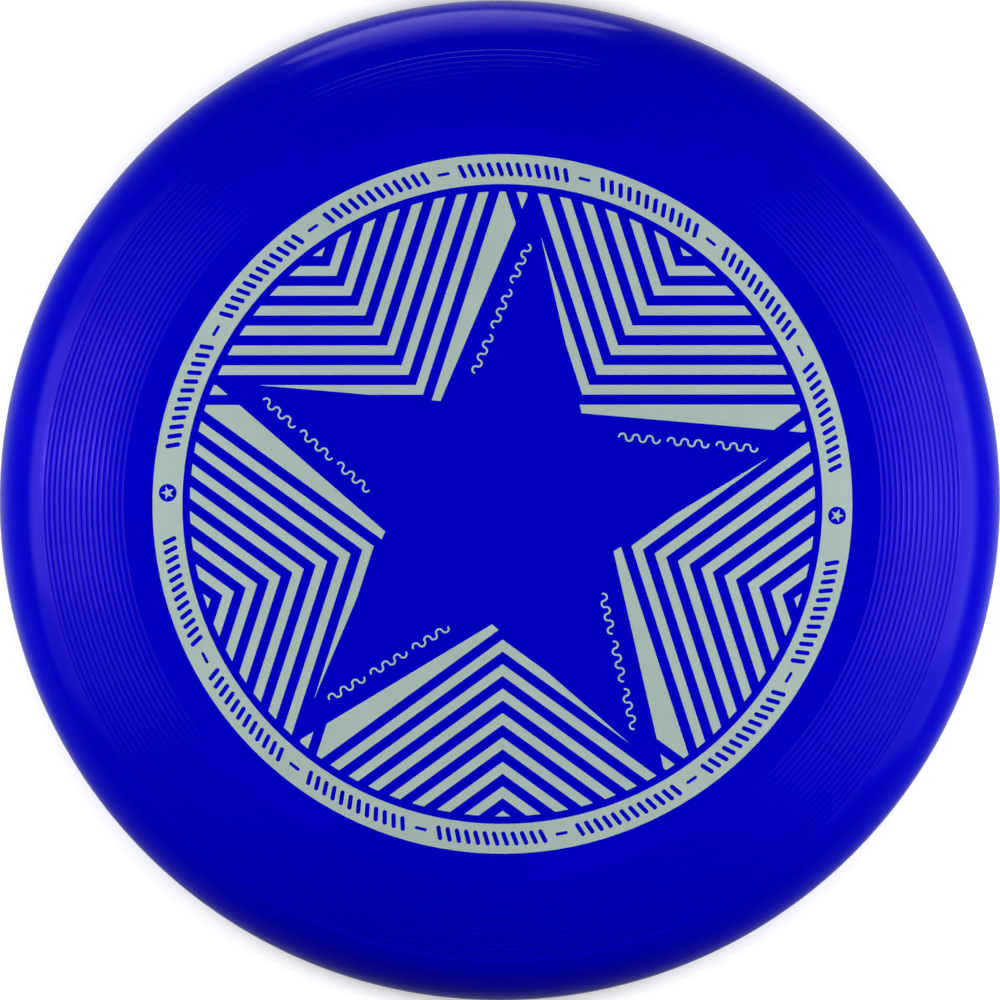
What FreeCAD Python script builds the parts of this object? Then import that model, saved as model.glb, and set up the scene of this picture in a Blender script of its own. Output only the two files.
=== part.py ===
import FreeCAD, Part
import math
import os

# A flying disc of the 175 g class: one moulded plastic disc, and the silver foil
# that is stamped on its flat plate. Millimetres, +Z up. The origin is on the disc's
# axis, level with the bottom of the rim.

# ---- disc ---------------------------------------------------------------------
# Its outline is a chain of arcs that meet smoothly. The angle of a point on it is
# that of the outward normal above the horizontal: 0 at the widest point, 90 on top.
DISC_DIAMETER = 274.4
LIP_RADIUS = 1.6            # rounding under the rim
SIDE_RADIUS = 20.0          # bulge of the side
SHOULDER_RADIUS = 21.2
CROWN_RADIUS = 74.0         # gentle slope that carries the flight rings
LIP_TO_SIDE = -14.5         # angles where one arc hands over to the next
SIDE_TO_SHOULDER = 30.0
SHOULDER_TO_CROWN = 64.0
CROWN_TO_PLATE = 82.0       # the crown meets the flat plate at an edge
TOP_ANGLE = 90.0

RING_COUNT = 15
RING_PITCH = 1.52           # from crest to crest, measured along the crown
OUTER_RING_DEPTH = 0.18     # of the round valleys between the crests
INNER_RING_DEPTH = 0.06

PLATE_THICKNESS = 2.2
INNER_CROWN_RADIUS = 71.8
INNER_EDGE_RADIUS = 4.0     # rounding under the plate's edge
INNER_SHOULDER_RADIUS = 16.0
RIM_DRAFT = 1.0             # degrees
LAND_WIDTH = 1.35           # flat that the disc rests on
INNER_LIP_RADIUS = 0.4
GATE_RADIUS = 2.5           # sprue mark in the middle of the underside
GATE_HEIGHT = 0.5
GATE_SLOPE = 0.4

# ---- foil ---------------------------------------------------------------------
FOIL_THICKNESS = 0.08

BAND_OUTER_RADIUS = 95.4
BAND_INNER_RADIUS = 87.3
BAND_TURN = -2.0            # direction of the first round hole
MARK_RADIUS = 91.3          # the circle that the cut-outs stand on
BAR_LENGTH = 4.1
BAR_WIDTH = 1.25
BAR_SLANT = 20.0            # off the radius
DASH_LENGTH = 3.4
DASH_WIDTH = 0.9
GROUPS_PER_HALF = 7
BARS_PER_GROUP = 12
DASH_SPACE = 3              # steps left for the dash between two groups
STEP_ANGLE = 1.62           # from one bar to the next
HOLE_RADIUS = 2.45
SMALL_STAR_RADIUS = 1.9

STAR_POINTS = 5
FIELD_RADIUS = 85.2         # the stripes end on this circle
STRIPE_PITCH = 5.4
STRIPE_WIDTH = 2.6
STRIPE_COUNT = 8
FIRST_STRIPE = 29.9         # from the axis to the inner edge line of the first stripe
STAR_SIDE = 26.6            # from the axis to the side lines of the large star
STAR_TURN = -5.0            # the large star is turned against the stripes

WAVE_INSET = 5.5            # from the star's side to the middle of the wave line
WAVE_START = 30.0           # along the star's side
WAVE_BEND_RADIUS = 0.93
WAVE_STROKE = 0.5
WAVE_BENDS = 6              # in one run of the line
WAVE_RUNS = 3
WAVE_GAP = 2.2

# A five-pointed star's side line passes its inner corners and its points at these
# angles off its own normal.
POINT_STEP = 360.0 / STAR_POINTS
CORNER_OFF = POINT_STEP / 2.0
TIP_OFF = POINT_STEP

HALVES = (0.0, 180.0)       # the band carries everything twice
UP = 90.0


def polar(radius, angle):
    """The x and y of a point at radius and angle, in degrees."""
    turn = math.radians(angle)
    return radius * math.cos(turn), radius * math.sin(turn)


def profile_point(centre, radius, angle):
    """A point of the disc's section, in the XZ plane."""
    across, up = polar(radius, angle)
    return FreeCAD.Vector(centre.x + across, 0, centre.z + up)


def profile_arc(centre, radius, first, last):
    """An arc of the disc's section, between two angles about its centre."""
    ends = [profile_point(centre, radius, angle) for angle in (first, (first + last) / 2, last)]
    return Part.Arc(*ends).toShape()


def smooth_chain(start, arcs):
    """Arcs that follow each other smoothly. Each is (radius, first angle, last angle)."""
    edges = []
    point = start
    for radius, first, last in arcs:
        across, up = polar(radius, first)
        centre = FreeCAD.Vector(point.x - across, 0, point.z - up)
        edges.append(profile_arc(centre, radius, first, last))
        point = profile_point(centre, radius, last)
    return edges, point


def straight_edges(points):
    return [Part.LineSegment(a, b).toShape() for a, b in zip(points, points[1:])]


def crown_edges(centre):
    """The ringed crown, from the shoulder inwards: sharp crests with a round valley between every two,
    shallower towards the plate. The last crest is the plate's edge."""
    ring_turn = math.degrees(RING_PITCH / CROWN_RADIUS)
    crest_angles = [CROWN_TO_PLATE - ring_turn * i for i in range(RING_COUNT, -1, -1)]
    crests = [profile_point(centre, CROWN_RADIUS, angle) for angle in crest_angles]
    edges = [profile_arc(centre, CROWN_RADIUS, SHOULDER_TO_CROWN, crest_angles[0])]
    depth_step = (INNER_RING_DEPTH - OUTER_RING_DEPTH) / (RING_COUNT - 1)
    for ring in range(RING_COUNT):
        depth = OUTER_RING_DEPTH + depth_step * ring
        valley = profile_point(centre, CROWN_RADIUS - depth, crest_angles[ring] + ring_turn / 2)
        edges.append(Part.Arc(crests[ring], valley, crests[ring + 1]).toShape())
    return edges, crests[-1]


def disc_body():
    """The moulded disc, as its section turned about the axis."""
    side_x = SIDE_RADIUS * (1 - math.cos(math.radians(LIP_TO_SIDE)))
    lip_x = LIP_RADIUS * math.cos(math.radians(LIP_TO_SIDE))
    land_outer = FreeCAD.Vector(DISC_DIAMETER / 2 - side_x - lip_x, 0, 0)
    outside, crown_start = smooth_chain(land_outer, [
        (LIP_RADIUS, -90.0, LIP_TO_SIDE),
        (SIDE_RADIUS, LIP_TO_SIDE, SIDE_TO_SHOULDER),
        (SHOULDER_RADIUS, SIDE_TO_SHOULDER, SHOULDER_TO_CROWN)])
    across, up = polar(CROWN_RADIUS, SHOULDER_TO_CROWN)
    crown_centre = FreeCAD.Vector(crown_start.x - across, 0, crown_start.z - up)
    rings, plate_edge = crown_edges(crown_centre)
    outside += rings
    plate_top = plate_edge.z

    plate_under = plate_top - PLATE_THICKNESS
    inner_arcs = [
        (INNER_SHOULDER_RADIUS, RIM_DRAFT, SHOULDER_TO_CROWN),
        (INNER_CROWN_RADIUS, SHOULDER_TO_CROWN, CROWN_TO_PLATE),
        (INNER_EDGE_RADIUS, CROWN_TO_PLATE, TOP_ANGLE)]
    rise = sum(polar(radius, last)[1] - polar(radius, first)[1] for radius, first, last in inner_arcs)
    wall_foot = FreeCAD.Vector(land_outer.x - LAND_WIDTH - INNER_LIP_RADIUS, 0, INNER_LIP_RADIUS)
    wall_height = plate_under - rise - wall_foot.z
    wall_head = wall_foot + FreeCAD.Vector(-wall_height * math.tan(math.radians(RIM_DRAFT)), 0, wall_height)
    inside, inner_plate_edge = smooth_chain(wall_head, inner_arcs)
    lip_centre = FreeCAD.Vector(wall_foot.x + INNER_LIP_RADIUS, 0, INNER_LIP_RADIUS)
    inside.append(profile_arc(lip_centre, INNER_LIP_RADIUS, 180.0, 270.0))
    inside += straight_edges([wall_foot, wall_head])

    top_and_axis = straight_edges([
        plate_edge,
        FreeCAD.Vector(0, 0, plate_top),
        FreeCAD.Vector(0, 0, plate_under - GATE_HEIGHT),
        FreeCAD.Vector(GATE_RADIUS, 0, plate_under - GATE_HEIGHT),
        FreeCAD.Vector(GATE_RADIUS + GATE_SLOPE, 0, plate_under),
        inner_plate_edge])
    land = straight_edges([lip_centre - FreeCAD.Vector(0, 0, INNER_LIP_RADIUS), land_outer])
    section = Part.Wire(Part.__sortEdges__(outside + top_and_axis + inside + land))
    body = Part.Face(section).revolve(FreeCAD.Vector(0, 0, 0), FreeCAD.Vector(0, 0, 1), 360)
    return body, plate_top


def star_outline(side, turn):
    """The corners of a five-pointed star whose side lines pass the axis at this distance."""
    tip_radius = side / math.cos(math.radians(TIP_OFF))
    corner_radius = side / math.cos(math.radians(CORNER_OFF))
    corners = []
    for point in range(STAR_POINTS):
        tip_angle = UP + turn + point * POINT_STEP
        corners.append(polar(tip_radius, tip_angle))
        corners.append(polar(corner_radius, tip_angle + CORNER_OFF))
    return corners


def outline_wire(points, level):
    corners = [FreeCAD.Vector(x, y, level) for x, y in points]
    return Part.makePolygon(corners + corners[:1])


def foil_from(wires):
    """Foil of the stamped thickness inside an outline. Further wires are holes."""
    face = Part.makeFace(wires, "Part::FaceMakerBullseye")
    return face.extrude(FreeCAD.Vector(0, 0, FOIL_THICKNESS))


def slot_wire(radius, angle, length, width, slant, level):
    """A round-ended slot on the circle of the marks. Slant is off the radius."""
    half = (length - width) / 2
    along = FreeCAD.Vector(*polar(half, angle + slant), 0)
    side = FreeCAD.Vector(*polar(width / 2, angle + slant + 90), 0)
    tip = FreeCAD.Vector(*polar(width / 2, angle + slant), 0)
    middle = FreeCAD.Vector(*polar(radius, angle), level)
    a = middle + along
    b = middle - along
    edges = [
        Part.Arc(a - side, a + tip, a + side).toShape(),
        Part.LineSegment(a + side, b + side).toShape(),
        Part.Arc(b + side, b - tip, b - side).toShape(),
        Part.LineSegment(b - side, a - side).toShape()]
    return Part.Wire(edges)


def circle_wire(radius, middle):
    return Part.Wire(Part.makeCircle(radius, middle))


def hole_centres(level):
    return [FreeCAD.Vector(*polar(MARK_RADIUS, BAND_TURN + half), level) for half in HALVES]


def foil_band(level):
    """The ring band, with its two round holes and its rows of slanted bars and dashes."""
    axis = FreeCAD.Vector(0, 0, level)
    wires = [circle_wire(BAND_OUTER_RADIUS, axis), circle_wire(BAND_INNER_RADIUS, axis)]
    wires += [circle_wire(HOLE_RADIUS, middle) for middle in hole_centres(level)]
    group_steps = BARS_PER_GROUP + DASH_SPACE
    row_steps = GROUPS_PER_HALF * group_steps - DASH_SPACE - 1
    row_margin = (180.0 - row_steps * STEP_ANGLE) / 2
    for half in HALVES:
        row_start = BAND_TURN + half + row_margin
        for group in range(GROUPS_PER_HALF):
            group_start = row_start + group * group_steps * STEP_ANGLE
            for bar in range(BARS_PER_GROUP):
                angle = group_start + bar * STEP_ANGLE
                wires.append(slot_wire(MARK_RADIUS, angle, BAR_LENGTH, BAR_WIDTH, BAR_SLANT, level))
            if group < GROUPS_PER_HALF - 1:
                angle = group_start + (BARS_PER_GROUP + (DASH_SPACE - 1) / 2) * STEP_ANGLE
                wires.append(slot_wire(MARK_RADIUS, angle, DASH_LENGTH, DASH_WIDTH, 90.0, level))
    return foil_from(wires)


def foil_band_stars(level):
    """The small star in each round hole of the band, one point outwards."""
    side = SMALL_STAR_RADIUS * math.cos(math.radians(TIP_OFF))
    stars = []
    for middle, half in zip(hole_centres(level), HALVES):
        star = foil_from([outline_wire(star_outline(side, BAND_TURN + half - 90.0), 0)])
        star.translate(middle)
        stars.append(star)
    return Part.makeCompound(stars)


def chevron_outline(side, axis_angle):
    """A V that points at the axis, between two side lines and their neighbours one width out."""
    reach = 2 * FIELD_RADIUS
    corners = []
    for distance, order in ((side, 1), (side + STRIPE_WIDTH, -1)):
        apex = polar(distance / math.cos(math.radians(CORNER_OFF)), axis_angle)
        arms = [polar(reach, axis_angle + turn) for turn in (90.0 - CORNER_OFF, CORNER_OFF - 90.0)]
        line = [(apex[0] + x, apex[1] + y) for x, y in arms]
        line.insert(1, apex)
        corners += line[::order]
    return corners


def foil_chevrons(axis_angle, field, star):
    """One field of stripes. The large star cuts the first stripe to a taper."""
    level = field.BoundBox.ZMin
    stripes = []
    for number in range(STRIPE_COUNT):
        side = FIRST_STRIPE + number * STRIPE_PITCH
        stripe = foil_from([outline_wire(chevron_outline(side, axis_angle), level)])
        stripes += stripe.common(field).cut(star).Solids
    return Part.makeCompound(stripes)


def foil_blades(field, star):
    """The tapers between the turned star and the stripes, one beside each of its points."""
    level = field.BoundBox.ZMin
    blade_side = FIRST_STRIPE - (STRIPE_PITCH - STRIPE_WIDTH)
    upright = foil_from([outline_wire(star_outline(blade_side, 0.0), level)])
    blades = upright.common(field).cut(star).Solids
    return sorted(blades, key=lambda blade: math.atan2(blade.CenterOfMass.y, blade.CenterOfMass.x))


def wave_run(level):
    """One run of the wave line, from the origin along +X: half rings, up and down in turn."""
    half = WAVE_STROKE / 2
    upper = []
    lower = []
    for bend in range(WAVE_BENDS):
        way = 1 if bend % 2 == 0 else -1
        middle = (2 * bend + 1) * WAVE_BEND_RADIUS
        upper_radius = WAVE_BEND_RADIUS + way * half
        lower_radius = WAVE_BEND_RADIUS - way * half
        for edges, radius in ((upper, upper_radius), (lower, lower_radius)):
            ends = [
                FreeCAD.Vector(middle - radius, 0, level),
                FreeCAD.Vector(middle, way * radius, level),
                FreeCAD.Vector(middle + radius, 0, level)]
            edges.append(Part.Arc(*ends).toShape())
    length = 2 * WAVE_BENDS * WAVE_BEND_RADIUS
    caps = []
    for middle, way in ((0.0, -1), (length, 1)):
        ends = [
            FreeCAD.Vector(middle - half, 0, level),
            FreeCAD.Vector(middle, way * half, level),
            FreeCAD.Vector(middle + half, 0, level)]
        caps.append(Part.Arc(*ends).toShape())
    return foil_from([Part.Wire(Part.__sortEdges__(upper + lower + caps))])


def foil_waves(normal_angle, level):
    """The fine wave line inside one point of the star, in line with the star's side."""
    run_length = 2 * WAVE_BENDS * WAVE_BEND_RADIUS + WAVE_GAP
    runs = []
    for number in range(WAVE_RUNS):
        run = wave_run(level)
        run.translate(FreeCAD.Vector(WAVE_START + number * run_length, STAR_SIDE - WAVE_INSET, 0))
        run.rotate(FreeCAD.Vector(0, 0, 0), FreeCAD.Vector(0, 0, 1), normal_angle - 90.0)
        runs.append(run)
    return Part.makeCompound(runs)


def main():
    os.makedirs("parts", exist_ok=True)
    body, plate_top = disc_body()
    nodes = {"disc_body": body}
    nodes["foil_band"] = foil_band(plate_top)
    nodes["foil_band_stars"] = foil_band_stars(plate_top)
    field = foil_from([circle_wire(FIELD_RADIUS, FreeCAD.Vector(0, 0, plate_top))])
    star = foil_from([outline_wire(star_outline(STAR_SIDE, STAR_TURN), plate_top)])
    for number, blade in enumerate(foil_blades(field, star), 1):
        nodes[f"foil_blade_{number}"] = blade
    for number in range(1, STAR_POINTS + 1):
        axis_angle = UP - CORNER_OFF + number * POINT_STEP
        nodes[f"foil_chevrons_{number}"] = foil_chevrons(axis_angle, field, star)
        normal_angle = axis_angle + CORNER_OFF + STAR_TURN
        nodes[f"foil_wave_{number}"] = foil_waves(normal_angle, plate_top)
    for name, shape in nodes.items():
        shape.exportStep(f"parts/{name}.step")


main()
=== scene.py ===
import math

import bmesh
import bpy
from mathutils import Matrix, Vector


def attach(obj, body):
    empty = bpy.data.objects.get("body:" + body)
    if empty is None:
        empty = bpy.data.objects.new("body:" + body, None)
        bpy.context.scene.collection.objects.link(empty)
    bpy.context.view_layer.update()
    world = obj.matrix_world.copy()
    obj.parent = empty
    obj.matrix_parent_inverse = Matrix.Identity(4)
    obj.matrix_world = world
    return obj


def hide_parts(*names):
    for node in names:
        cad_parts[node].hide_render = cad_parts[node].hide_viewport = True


# A blue flying disc with a silver print, seen almost straight down. Metres, +Z up.
# The moulded disc is a fine lathed mesh in place of the CAD one. The foil islands are
# the CAD's own solids with a better material.

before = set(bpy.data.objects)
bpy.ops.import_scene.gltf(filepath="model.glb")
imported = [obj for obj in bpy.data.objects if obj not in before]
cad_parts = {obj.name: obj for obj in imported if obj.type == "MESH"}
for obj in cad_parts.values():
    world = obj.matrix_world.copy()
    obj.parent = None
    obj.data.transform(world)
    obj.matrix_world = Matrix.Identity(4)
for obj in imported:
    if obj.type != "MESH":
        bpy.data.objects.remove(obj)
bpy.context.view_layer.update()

MM = 0.001

# ---- disc outline, as in the CAD: arcs that meet smoothly ------------------------
# The angle of a point is that of the outward normal above the horizontal.
DISC_RADIUS = 137.2 * MM
LIP_RADIUS = 1.6 * MM
SIDE_RADIUS = 20.0 * MM
SHOULDER_RADIUS = 21.2 * MM
CROWN_RADIUS = 74.0 * MM
LIP_TO_SIDE = -14.5
SIDE_TO_SHOULDER = 30.0
SHOULDER_TO_CROWN = 64.0
CROWN_TO_PLATE = 82.0
TOP_ANGLE = 90.0
RING_COUNT = 15
RING_PITCH = 1.52 * MM
OUTER_RING_DEPTH = 0.18 * MM
INNER_RING_DEPTH = 0.06 * MM
PLATE_THICKNESS = 2.2 * MM
INNER_CROWN_RADIUS = 71.8 * MM
INNER_EDGE_RADIUS = 4.0 * MM
INNER_SHOULDER_RADIUS = 16.0 * MM
RIM_DRAFT = 1.0
LAND_WIDTH = 1.35 * MM
INNER_LIP_RADIUS = 0.4 * MM
GATE_RADIUS = 2.5 * MM
GATE_HEIGHT = 0.5 * MM
GATE_SLOPE = 0.4 * MM

LATHE_STEPS = 400
# Points across one valley between two crests, as shares of the pitch. They crowd at
# the crests, which keeps them crisp under smooth shading.
VALLEY_SHARES = (0.015, 0.12, 0.3, 0.5, 0.7, 0.88, 0.985, 1.0)
PLATE_EDGE_STRIP = 0.05 * MM    # a narrow flat strip that keeps the plate's edge crisp
PLATE_HUB_RADIUS = 2.0 * MM     # inside it the plate's top is a fan of triangles

# ---- materials --------------------------------------------------------------------
# Each colour wanders between two close shades. Scales are in patches per metre.
BLUE_SHADES = ((0.0003, 0.0, 0.453, 1), (0.0006, 0.0, 0.488, 1))
BLUE_CLOUD_SCALE = 18.0
BLUE_GRAIN_SCALE = 2600.0
BLUE_ROUGHNESS = (0.16, 0.21)
BLUE_SHINE = (0.137, 0.075, 0.5, 1.0)
FOIL_SHADES = ((0.397, 0.517, 0.47, 1), (0.428, 0.557, 0.506, 1))
FOIL_CLOUD_SCALE = 60.0
FOIL_GRAIN_SCALE = 3000.0
FOIL_ROUGHNESS = (0.34, 0.46)
GRAIN_HEIGHT = 0.02 * MM
NOISE_ROUGHNESS = 0.55

# ---- floor ------------------------------------------------------------------------
FLOOR_HALF_WIDTH = 0.65
FLOOR_FADE = (0.25, 0.6)        # distances from the axis where it begins and ends
FLOOR_PAINTED_GLOW = 0.45               # strength of a painted glow that only the camera sees; it keeps the floor white and paints over the disc's shadow beyond the rim
FLOOR_PAINTED_GLOW_START = (0.13, 0.142)    # distances from the axis where the painted glow sets in and is full; inside them the disc's real shadow shows as a darker band

# ---- surroundings, as the disc mirrors them -----------------------------------------
GLOW_BELOW = 0.42
GLOW_BELOW_SOUTH = 0.17
GLOW_HEIGHTS = (-0.8, -0.31)    # of the mirrored direction, full glow and none
SOUTH_TURN = (-0.38, -0.16)     # its share to the north, southern glow and full glow

# ---- picture ----------------------------------------------------------------------
CAMERA_DISTANCE = 4.0
CAMERA_NORTH_TILT = 2.05     # degrees off the vertical
CAMERA_WEST_TILT = 1.45
SENSOR_WIDTH = 36.0
VIEW_WIDTH = 0.2743          # what the picture spans at the disc's widest level
VIEW_CENTRE = (-0.07 * MM, 0.245 * MM, 6.2 * MM)


def polar(radius, angle):
    turn = math.radians(angle)
    return radius * math.cos(turn), radius * math.sin(turn)


def arc_points(centre, radius, first, last, steps):
    """Points (r, z) of an arc, without its first one."""
    points = []
    for step in range(1, steps + 1):
        across, up = polar(radius, first + (last - first) * step / steps)
        points.append((centre[0] + across, centre[1] + up))
    return points


def follow_arcs(start, arcs):
    """A line of points along arcs that follow each other: (radius, first, last, steps)."""
    points = [start]
    for radius, first, last, steps in arcs:
        across, up = polar(radius, first)
        centre = (points[-1][0] - across, points[-1][1] - up)
        points += arc_points(centre, radius, first, last, steps)
    return points


def line_points(start, end, steps):
    """Points on a straight line, without its first one."""
    across = (end[0] - start[0]) / steps
    up = (end[1] - start[1]) / steps
    return [(start[0] + across * step, start[1] + up * step) for step in range(1, steps + 1)]


def crown_points(centre):
    """The ringed crown, from the shoulder inwards to the plate's edge."""
    ring_turn = math.degrees(RING_PITCH / CROWN_RADIUS)
    first = CROWN_TO_PLATE - ring_turn * RING_COUNT
    points = arc_points(centre, CROWN_RADIUS, SHOULDER_TO_CROWN, first, 1)
    depth_step = (INNER_RING_DEPTH - OUTER_RING_DEPTH) / (RING_COUNT - 1)
    for ring in range(RING_COUNT):
        for share in VALLEY_SHARES:
            depth = (OUTER_RING_DEPTH + depth_step * ring) * (1 - (2 * share - 1) ** 2)
            across, up = polar(CROWN_RADIUS - depth, first + ring_turn * (ring + share))
            points.append((centre[0] + across, centre[1] + up))
    return points


def disc_section():
    """The disc's section as one line (r, z), from under the plate round to its top. Also the two levels
    at which the lathe closes it on the axis."""
    side_across = SIDE_RADIUS * (1 - math.cos(math.radians(LIP_TO_SIDE)))
    land_outer = (DISC_RADIUS - side_across - polar(LIP_RADIUS, LIP_TO_SIDE)[0], 0.0)
    outside = follow_arcs(land_outer, [
        (LIP_RADIUS, -90.0, LIP_TO_SIDE, 8),
        (SIDE_RADIUS, LIP_TO_SIDE, SIDE_TO_SHOULDER, 16),
        (SHOULDER_RADIUS, SIDE_TO_SHOULDER, SHOULDER_TO_CROWN, 16)])
    across, up = polar(CROWN_RADIUS, SHOULDER_TO_CROWN)
    centre = (outside[-1][0] - across, outside[-1][1] - up)
    outside += crown_points(centre)
    plate_edge = outside[-1]
    plate_top = plate_edge[1]
    outside += line_points(plate_edge, (plate_edge[0] - PLATE_EDGE_STRIP, plate_top), 1)
    outside += line_points(outside[-1], (PLATE_HUB_RADIUS, plate_top), 6)

    plate_under = plate_top - PLATE_THICKNESS
    inner_arcs = [
        (INNER_SHOULDER_RADIUS, RIM_DRAFT, SHOULDER_TO_CROWN, 12),
        (INNER_CROWN_RADIUS, SHOULDER_TO_CROWN, CROWN_TO_PLATE, 8),
        (INNER_EDGE_RADIUS, CROWN_TO_PLATE, TOP_ANGLE, 3)]
    rise = sum(polar(arc[0], arc[2])[1] - polar(arc[0], arc[1])[1] for arc in inner_arcs)
    foot = (land_outer[0] - LAND_WIDTH - INNER_LIP_RADIUS, INNER_LIP_RADIUS)
    wall_height = plate_under - rise - foot[1]
    head = (foot[0] - wall_height * math.tan(math.radians(RIM_DRAFT)), foot[1] + wall_height)
    inside = follow_arcs(head, inner_arcs)
    gate_foot = (GATE_RADIUS + GATE_SLOPE, plate_under)
    inside += line_points(inside[-1], gate_foot, 5)
    inside += [(GATE_RADIUS, plate_under - GATE_HEIGHT)]
    lip_centre = (foot[0] + INNER_LIP_RADIUS, INNER_LIP_RADIUS)
    inner_lip = arc_points(lip_centre, INNER_LIP_RADIUS, 180.0, 270.0, 4)
    wall = line_points(head, foot, 3)
    return inside[::-1] + wall + inner_lip + outside, plate_under - GATE_HEIGHT, plate_top


def lathe(name, section, bottom, top):
    """A closed mesh of revolution. Both ends of the section are closed at the axis."""
    mesh = bmesh.new()
    rows = []
    for radius, level in section:
        row = []
        for step in range(LATHE_STEPS):
            x, y = polar(radius, 360.0 * step / LATHE_STEPS)
            row.append(mesh.verts.new((x, y, level)))
        rows.append(row)
    for lower, upper in zip(rows, rows[1:]):
        for step in range(LATHE_STEPS):
            after = (step + 1) % LATHE_STEPS
            mesh.faces.new((lower[step], lower[after], upper[after], upper[step]))
    for row, level, order in ((rows[0], bottom, -1), (rows[-1], top, 1)):
        middle = mesh.verts.new((0.0, 0.0, level))
        for step in range(LATHE_STEPS):
            corners = (row[step], row[(step + 1) % LATHE_STEPS], middle)
            mesh.faces.new(corners[::order])
    for face in mesh.faces:
        face.smooth = True
    data = bpy.data.meshes.new(name)
    mesh.to_mesh(data)
    mesh.free()
    piece = bpy.data.objects.new(name, data)
    bpy.context.scene.collection.objects.link(piece)
    return piece


# ---- material nodes ---------------------------------------------------------------
class Nodes:
    """Short calls for building a material's nodes."""

    def __init__(self, name):
        self.material = bpy.data.materials.new(name)
        self.material.use_nodes = True
        self.tree = self.material.node_tree
        self.shader = self.tree.nodes["Principled BSDF"]

    def add(self, kind, **settings):
        node = self.tree.nodes.new(kind)
        for key, value in settings.items():
            setattr(node, key, value)
        return node

    def put(self, value, socket):
        """Feeds a socket from another node's socket, or sets it."""
        if isinstance(value, bpy.types.NodeSocket):
            self.tree.links.new(value, socket)
        else:
            socket.default_value = value

    def noise(self, vector, scale, detail):
        node = self.add("ShaderNodeTexNoise")
        self.put(vector, node.inputs["Vector"])
        self.put(scale, node.inputs["Scale"])
        self.put(detail, node.inputs["Detail"])
        self.put(NOISE_ROUGHNESS, node.inputs["Roughness"])
        return node.outputs["Fac"]

    def spread(self, value, low, high, to_low=0.0, to_high=1.0):
        """Maps low..high to to_low..to_high, clamped."""
        node = self.add("ShaderNodeMapRange")
        for number, item in enumerate((value, low, high, to_low, to_high)):
            self.put(item, node.inputs[number])
        return node.outputs[0]

    def length(self, vector):
        node = self.add("ShaderNodeVectorMath", operation="LENGTH")
        self.put(vector, node.inputs[0])
        return node.outputs["Value"]

    def mix_colour(self, share, a, b):
        node = self.add("ShaderNodeMix", data_type="RGBA")
        for item, socket in ((share, node.inputs[0]), (a, node.inputs[6]), (b, node.inputs[7])):
            self.put(item, socket)
        return node.outputs[2]

    def bump(self, height, distance, strength):
        node = self.add("ShaderNodeBump")
        self.put(height, node.inputs["Height"])
        self.put(distance, node.inputs["Distance"])
        self.put(strength, node.inputs["Strength"])
        return node.outputs["Normal"]


def disc_plastic():
    """Satin blue polyethylene."""
    n = Nodes("disc_plastic_blue")
    place = n.add("ShaderNodeTexCoord").outputs["Object"]
    cloud = n.noise(place, BLUE_CLOUD_SCALE, 3.0)
    grain = n.noise(place, BLUE_GRAIN_SCALE, 2.0)
    n.put(n.mix_colour(n.spread(cloud, 0.3, 0.7), *BLUE_SHADES), n.shader.inputs["Base Color"])
    n.put(n.spread(grain, 0.25, 0.75, *BLUE_ROUGHNESS), n.shader.inputs["Roughness"])
    n.put(n.bump(grain, GRAIN_HEIGHT, 0.35), n.shader.inputs["Normal"])
    n.shader.inputs["IOR"].default_value = 1.5
    n.shader.inputs["Specular Tint"].default_value = BLUE_SHINE
    return n.material


def silver_foil():
    """Even matte silver of a hot-stamped print."""
    n = Nodes("silver_foil_matte")
    place = n.add("ShaderNodeTexCoord").outputs["Object"]
    cloud = n.noise(place, FOIL_CLOUD_SCALE, 4.0)
    grain = n.noise(place, FOIL_GRAIN_SCALE, 3.0)
    n.put(n.mix_colour(n.spread(cloud, 0.3, 0.7), *FOIL_SHADES), n.shader.inputs["Base Color"])
    n.put(n.spread(grain, 0.25, 0.75, *FOIL_ROUGHNESS), n.shader.inputs["Roughness"])
    n.put(n.bump(grain, GRAIN_HEIGHT, 0.4), n.shader.inputs["Normal"])
    n.shader.inputs["Metallic"].default_value = 0.25
    return n.material


# ---- studio -----------------------------------------------------------------------
def floor():
    """A pale floor that fades out into the pale surroundings. Only the camera sees its painted glow,
    which paints over the disc's shadow; close to the disc the glow falls away, so the real shadow shows
    there as a darker band.
    """
    data = bpy.data.meshes.new("floor")
    mesh = bmesh.new()
    bmesh.ops.create_grid(mesh, x_segments=1, y_segments=1, size=FLOOR_HALF_WIDTH)
    mesh.to_mesh(data)
    mesh.free()
    piece = bpy.data.objects.new("floor", data)
    bpy.context.scene.collection.objects.link(piece)
    n = Nodes("floor_pale")
    n.shader.inputs["Base Color"].default_value = (0.8, 0.8, 0.8, 1)
    n.shader.inputs["Roughness"].default_value = 0.9
    n.shader.inputs["Emission Color"].default_value = (1.0, 1.0, 1.0, 1)
    # Painted glow: emission that only camera rays see. It is full beyond the rim and falls to none close
    # to the disc, where the disc's real shadow shows.
    seen = n.add("ShaderNodeLightPath").outputs["Is Camera Ray"]
    distance = n.length(n.add("ShaderNodeTexCoord").outputs["Object"])
    painted_glow = n.spread(distance, *FLOOR_PAINTED_GLOW_START, 0.0, FLOOR_PAINTED_GLOW)
    n.put(n.spread(seen, 0.0, 1.0, 0.0, painted_glow), n.shader.inputs["Emission Strength"])
    mix = n.add("ShaderNodeMixShader")
    n.put(n.spread(distance, *FLOOR_FADE), mix.inputs[0])
    n.put(n.shader.outputs[0], mix.inputs[1])
    n.put(n.add("ShaderNodeBsdfTransparent").outputs[0], mix.inputs[2])
    n.put(mix.outputs[0], n.tree.nodes["Material Output"].inputs["Surface"])
    data.materials.append(n.material)
    piece.visible_glossy = False


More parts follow.
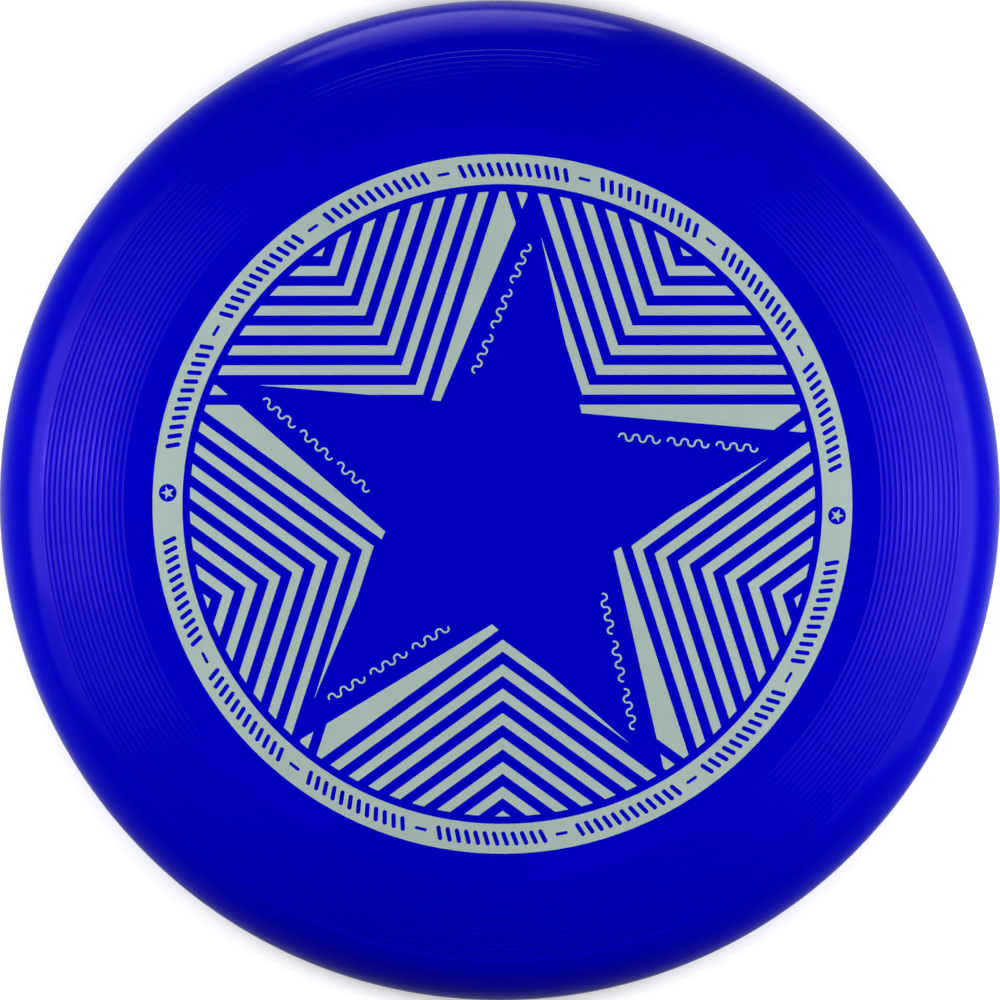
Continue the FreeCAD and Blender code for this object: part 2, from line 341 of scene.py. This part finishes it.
def softbox(name, azimuth, top, bottom, width, radiance):
    """A leaning rectangular area light. Its top and bottom edges are at (distance, height) from the
    origin, in the upright plane of the azimuth. Radiance 1 shows as white."""
    turn = math.radians(azimuth)
    outward = Vector((math.cos(turn), math.sin(turn), 0.0))
    upper = outward * top[0] + Vector((0, 0, top[1]))
    lower = outward * bottom[0] + Vector((0, 0, bottom[1]))
    along = (upper - lower).normalized()
    across = Vector((-math.sin(turn), math.cos(turn), 0.0))
    light = bpy.data.lights.new(name, "AREA")
    light.shape = "RECTANGLE"
    light.size = width
    light.size_y = (upper - lower).length
    light.energy = radiance * math.pi * light.size * light.size_y
    lamp = bpy.data.objects.new(name, light)
    turned = Matrix((across, along, across.cross(along))).transposed().to_4x4()
    lamp.matrix_world = Matrix.Translation((upper + lower) / 2) @ turned
    lamp.visible_camera = False
    bpy.context.scene.collection.objects.link(lamp)


def surroundings():
    """White where the camera sees them. The disc mirrors them dark above and dim below, and dimmer still
    to the south."""
    world = bpy.data.worlds.new("studio")
    world.use_nodes = True
    nodes = world.node_tree.nodes
    links = world.node_tree.links
    dim = nodes["Background"]
    dim.inputs["Color"].default_value = (1.0, 1.0, 1.0, 1)
    pale = nodes.new("ShaderNodeBackground")
    pale.inputs["Color"].default_value = (1.0, 1.0, 1.0, 1)
    place = nodes.new("ShaderNodeTexCoord")
    split = nodes.new("ShaderNodeSeparateXYZ")
    links.new(place.outputs["Generated"], split.inputs[0])
    south = nodes.new("ShaderNodeMapRange")
    fall = nodes.new("ShaderNodeMapRange")
    spans = (
        (south, *SOUTH_TURN, GLOW_BELOW_SOUTH, GLOW_BELOW),
        (fall, *GLOW_HEIGHTS, GLOW_BELOW, 0.0))
    for node, low, high, to_low, to_high in spans:
        node.inputs["From Min"].default_value = low
        node.inputs["From Max"].default_value = high
        node.inputs["To Min"].default_value = to_low
        node.inputs["To Max"].default_value = to_high
    links.new(split.outputs["Y"], south.inputs["Value"])
    links.new(split.outputs["Z"], fall.inputs["Value"])
    links.new(south.outputs[0], fall.inputs["To Min"])
    links.new(fall.outputs[0], dim.inputs["Strength"])
    mix = nodes.new("ShaderNodeMixShader")
    links.new(nodes.new("ShaderNodeLightPath").outputs["Is Camera Ray"], mix.inputs[0])
    links.new(dim.outputs[0], mix.inputs[1])
    links.new(pale.outputs[0], mix.inputs[2])
    links.new(mix.outputs[0], nodes["World Output"].inputs["Surface"])
    bpy.context.scene.world = world


def studio():
    floor()
    softbox("left_upper", 176.0, (0.316, 0.60), (0.482, 0.274), 0.61, 1.8)
    softbox("left_lower", 176.0, (0.482, 0.274), (0.56, 0.12), 0.61, 0.9)
    softbox("left_core", 176.0, (0.36, 0.49), (0.53, 0.16), 0.30, 4.0)
    softbox("left_hot", 176.0, (0.432, 0.354), (0.490, 0.283), 0.06, 18.0)
    softbox("right_upper", -1.0, (0.319, 0.609), (0.492, 0.245), 0.66, 1.9)
    softbox("right_lower", -1.0, (0.492, 0.245), (0.59, 0.04), 0.66, 1.2)
    softbox("right_core", -1.0, (0.363, 0.49), (0.54, 0.10), 0.34, 3.3)
    softbox("right_hot", -2.0, (0.435, 0.351), (0.490, 0.283), 0.07, 12.0)
    softbox("north_high", 95.5, (0.6, 0.20), (0.6, 0.09), 0.22, 0.8)
    softbox("north_low", 95.5, (0.6, 0.09), (0.6, 0.0), 0.40, 2.0)
    softbox("north_floor", 95.5, (0.6, 0.004), (0.155, 0.004), 0.12, 2.6)
    surroundings()
    bpy.context.scene.view_settings.view_transform = "Standard"


def camera():
    data = bpy.data.cameras.new("camera")
    data.sensor_width = SENSOR_WIDTH
    data.lens = SENSOR_WIDTH * CAMERA_DISTANCE / VIEW_WIDTH
    eye = bpy.data.objects.new("camera", data)
    west = math.tan(math.radians(CAMERA_WEST_TILT))
    north = math.tan(math.radians(CAMERA_NORTH_TILT))
    back = Vector((-west, north, 1.0)).normalized()
    across = Vector((0, 1, 0)).cross(back).normalized()
    turn = Matrix((across, back.cross(across), back)).transposed().to_4x4()
    eye.matrix_world = Matrix.Translation(Vector(VIEW_CENTRE) + back * CAMERA_DISTANCE) @ turn
    bpy.context.scene.collection.objects.link(eye)
    bpy.context.scene.camera = eye


plastic = disc_plastic()
foil = silver_foil()
section, gate_level, plate_level = disc_section()
disc = lathe("disc", section, gate_level, plate_level)
disc.data.materials.append(plastic)
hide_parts("disc_body")
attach(disc, "root")
for name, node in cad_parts.items():
    if name != "disc_body":
        node.material_slots[0].material = foil

studio()
camera()
